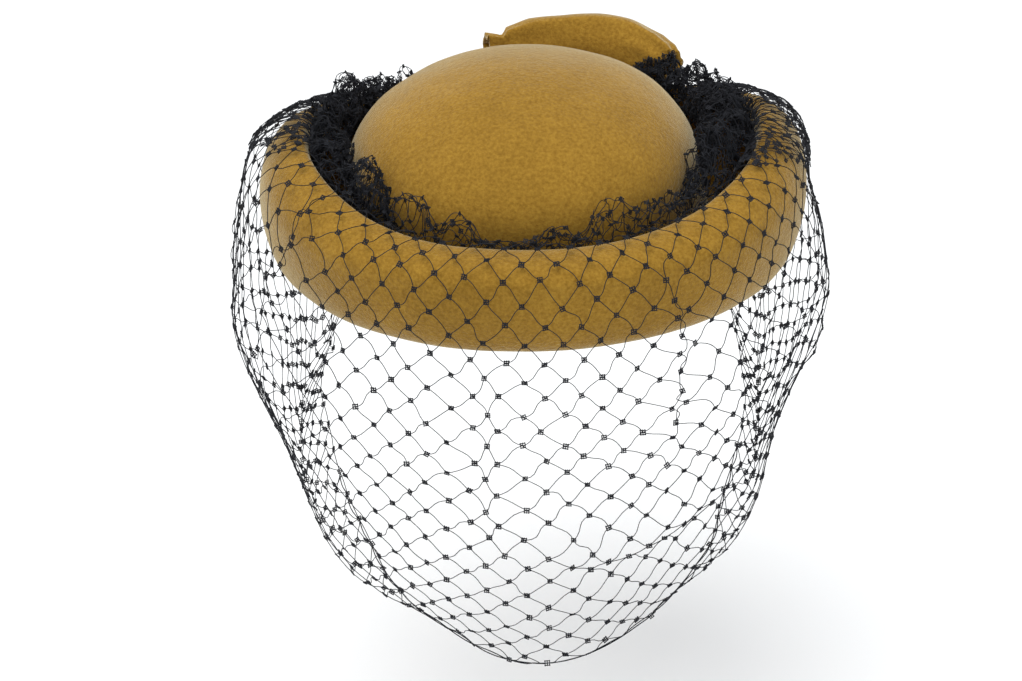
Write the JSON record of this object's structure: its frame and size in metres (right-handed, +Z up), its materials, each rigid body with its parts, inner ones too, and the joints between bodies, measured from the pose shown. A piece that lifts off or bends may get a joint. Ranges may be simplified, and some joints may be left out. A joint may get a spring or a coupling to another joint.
{
  "type": "felt pillbox hat with a face veil",
  "caption": "Domed felt pillbox hat with a bowl-shaped brim, a pinched felt bow at the back and a diamond-mesh face veil gathered into the channel.",
  "frame": {"origin": "centre of the head opening, in the plane of its lower edge, where the head enters", "axes": "+Z up along the crown, the wearer faces -Y, +X to the wearer's left"},
  "size_m": [0.2145, 0.1753, 0.1871],
  "materials": {
    "felt": "mustard fur felt with a short velour nap",
    "net": "black knotted millinery net"
  },
  "bodies": {
    "root": {"crown": "felt", "brim": "felt", "bow": "felt", "veil_ruche": "net", "veil": "net"}
  },
  "joints": []
}
